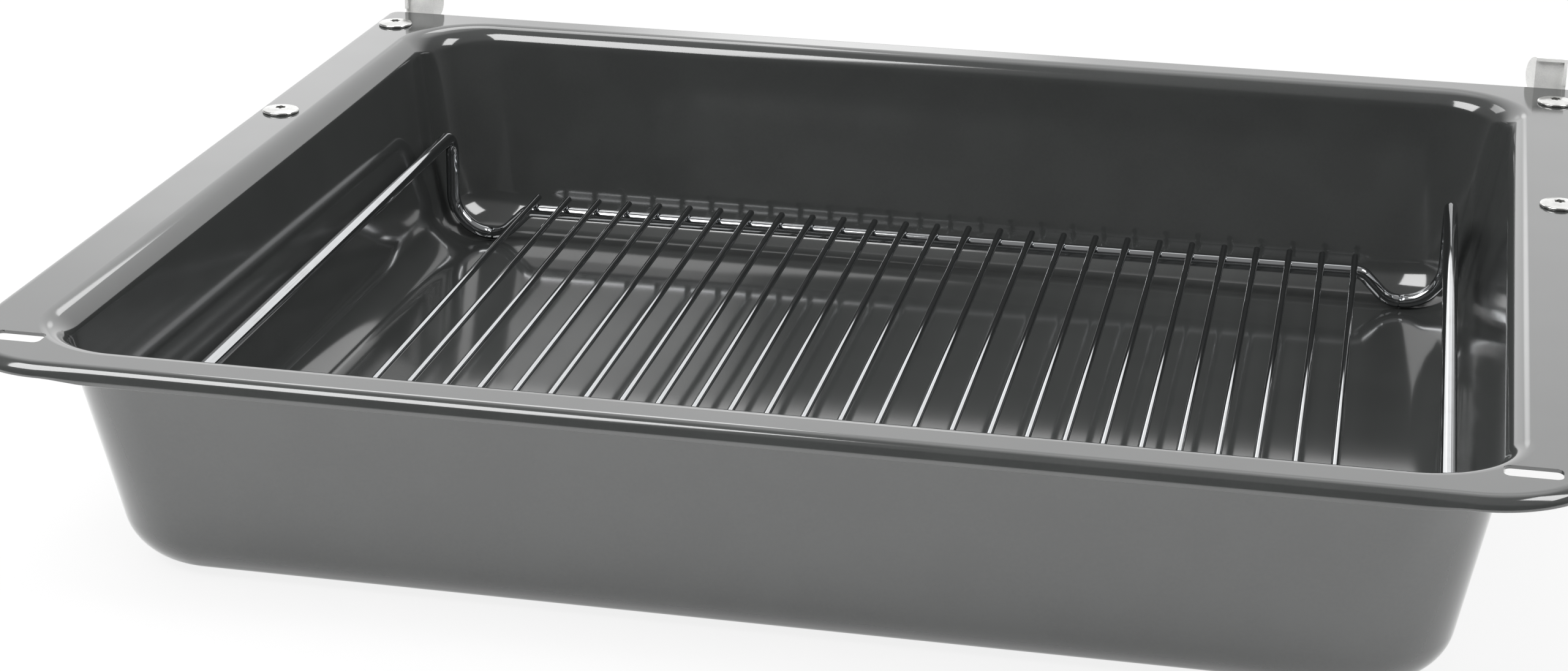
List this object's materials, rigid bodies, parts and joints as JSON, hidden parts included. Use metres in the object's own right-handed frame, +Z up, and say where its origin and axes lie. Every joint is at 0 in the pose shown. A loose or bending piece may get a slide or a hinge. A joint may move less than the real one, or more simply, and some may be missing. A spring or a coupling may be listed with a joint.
{
  "type": "roasting pan",
  "caption": "Deep enamelled oven roasting pan with a wide flange, turned-down rim, slotted front corners, screwed-on rear hangers and a loose lift-out wire rack.",
  "frame": {"origin": "centre of the flat underside of the pan", "axes": "+X to the right along the long side, +Y towards the rear hangers, +Z up"},
  "size_m": [0.46, 0.4062, 0.0862],
  "materials": {
    "enamel": "glossy anthracite vitreous enamel",
    "rack_chrome": "bright chrome plating on round wire",
    "screw_steel": "bright plated steel",
    "hanger_steel": "satin plated sheet steel"
  },
  "bodies": {
    "pan": {"pan_shell": "enamel", "left_hanger": "hanger_steel", "right_hanger": "hanger_steel", "left_rear_screw": "screw_steel", "left_rear_nut": "hanger_steel", "left_middle_screw": "screw_steel", "left_middle_nut": "hanger_steel", "right_rear_screw": "screw_steel", "right_rear_nut": "hanger_steel", "right_middle_screw": "screw_steel", "right_middle_nut": "hanger_steel"},
    "rack": {"rack_frame": "rack_chrome", "rack_bar_01": "rack_chrome", "rack_bar_02": "rack_chrome", "rack_bar_03": "rack_chrome", "rack_bar_04": "rack_chrome", "rack_bar_05": "rack_chrome", "rack_bar_06": "rack_chrome", "rack_bar_07": "rack_chrome", "rack_bar_08": "rack_chrome", "rack_bar_09": "rack_chrome", "rack_bar_10": "rack_chrome", "rack_bar_11": "rack_chrome", "rack_bar_12": "rack_chrome", "rack_bar_13": "rack_chrome", "rack_bar_14": "rack_chrome", "rack_bar_15": "rack_chrome", "rack_bar_16": "rack_chrome", "rack_bar_17": "rack_chrome", "rack_bar_18": "rack_chrome", "rack_bar_19": "rack_chrome", "rack_bar_20": "rack_chrome", "rack_bar_21": "rack_chrome", "rack_bar_22": "rack_chrome", "rack_bar_23": "rack_chrome", "rack_bar_24": "rack_chrome", "rack_bar_25": "rack_chrome", "rack_bar_26": "rack_chrome", "rack_bar_27": "rack_chrome"}
  },
  "joints": [
    {"name": "rack_lift", "type": "slide", "parent": "pan", "child": "rack", "axis": [0, 0, 1], "range_m": [0, 0.12]}
  ]
}
